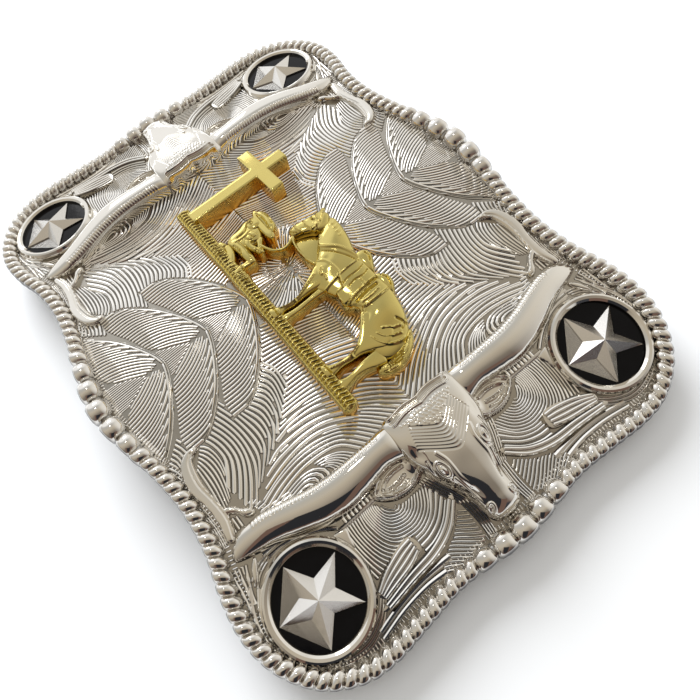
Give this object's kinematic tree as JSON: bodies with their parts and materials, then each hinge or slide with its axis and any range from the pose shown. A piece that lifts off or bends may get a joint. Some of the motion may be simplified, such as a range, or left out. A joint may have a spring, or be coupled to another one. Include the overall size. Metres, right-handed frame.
{
  "type": "western belt buckle",
  "caption": "Large curved western plate buckle with rope and bead edge, engraved leaf relief, longhorn heads, enamelled star roundels, gold cross and kneeling rider scene, belt loop and stud.",
  "frame": {"origin": "Middle of the bounding box, on the surface that the buckle lies on, face up.", "axes": "+X along the long side, from the cross to the horse's tail; +Y up the scene, towards the cross's top; +Z out of the face."},
  "size_m": [0.1198, 0.0878, 0.0162],
  "materials": {
    "engraved_silver": "nickel-plated zinc casting, engraved all over with fine parallel grooves",
    "polished_silver": "nickel-plated zinc, mirror polished",
    "satin_silver": "nickel-plated, faintly satin facets",
    "black_enamel": "glossy black enamel",
    "gold_plate": "pale yellow gold plate, polished, deeper orange on the inner side walls",
    "back_metal": "plated steel wire and stud, lightly brushed"
  },
  "bodies": {
    "root": {"plate": "engraved_silver", "rope_border": "polished_silver", "longhorn_left": "polished_silver", "longhorn_right": "polished_silver", "ring_top_left": "polished_silver", "ring_top_right": "polished_silver", "ring_bottom_left": "polished_silver", "ring_bottom_right": "polished_silver", "enamel_top_left": "black_enamel", "enamel_top_right": "black_enamel", "enamel_bottom_left": "black_enamel", "enamel_bottom_right": "black_enamel", "star_top_left": "satin_silver", "star_top_right": "satin_silver", "star_bottom_left": "satin_silver", "star_bottom_right": "satin_silver", "gold_scene": "gold_plate", "belt_loop": "back_metal", "hook_stud": "back_metal"}
  },
  "joints": []
}
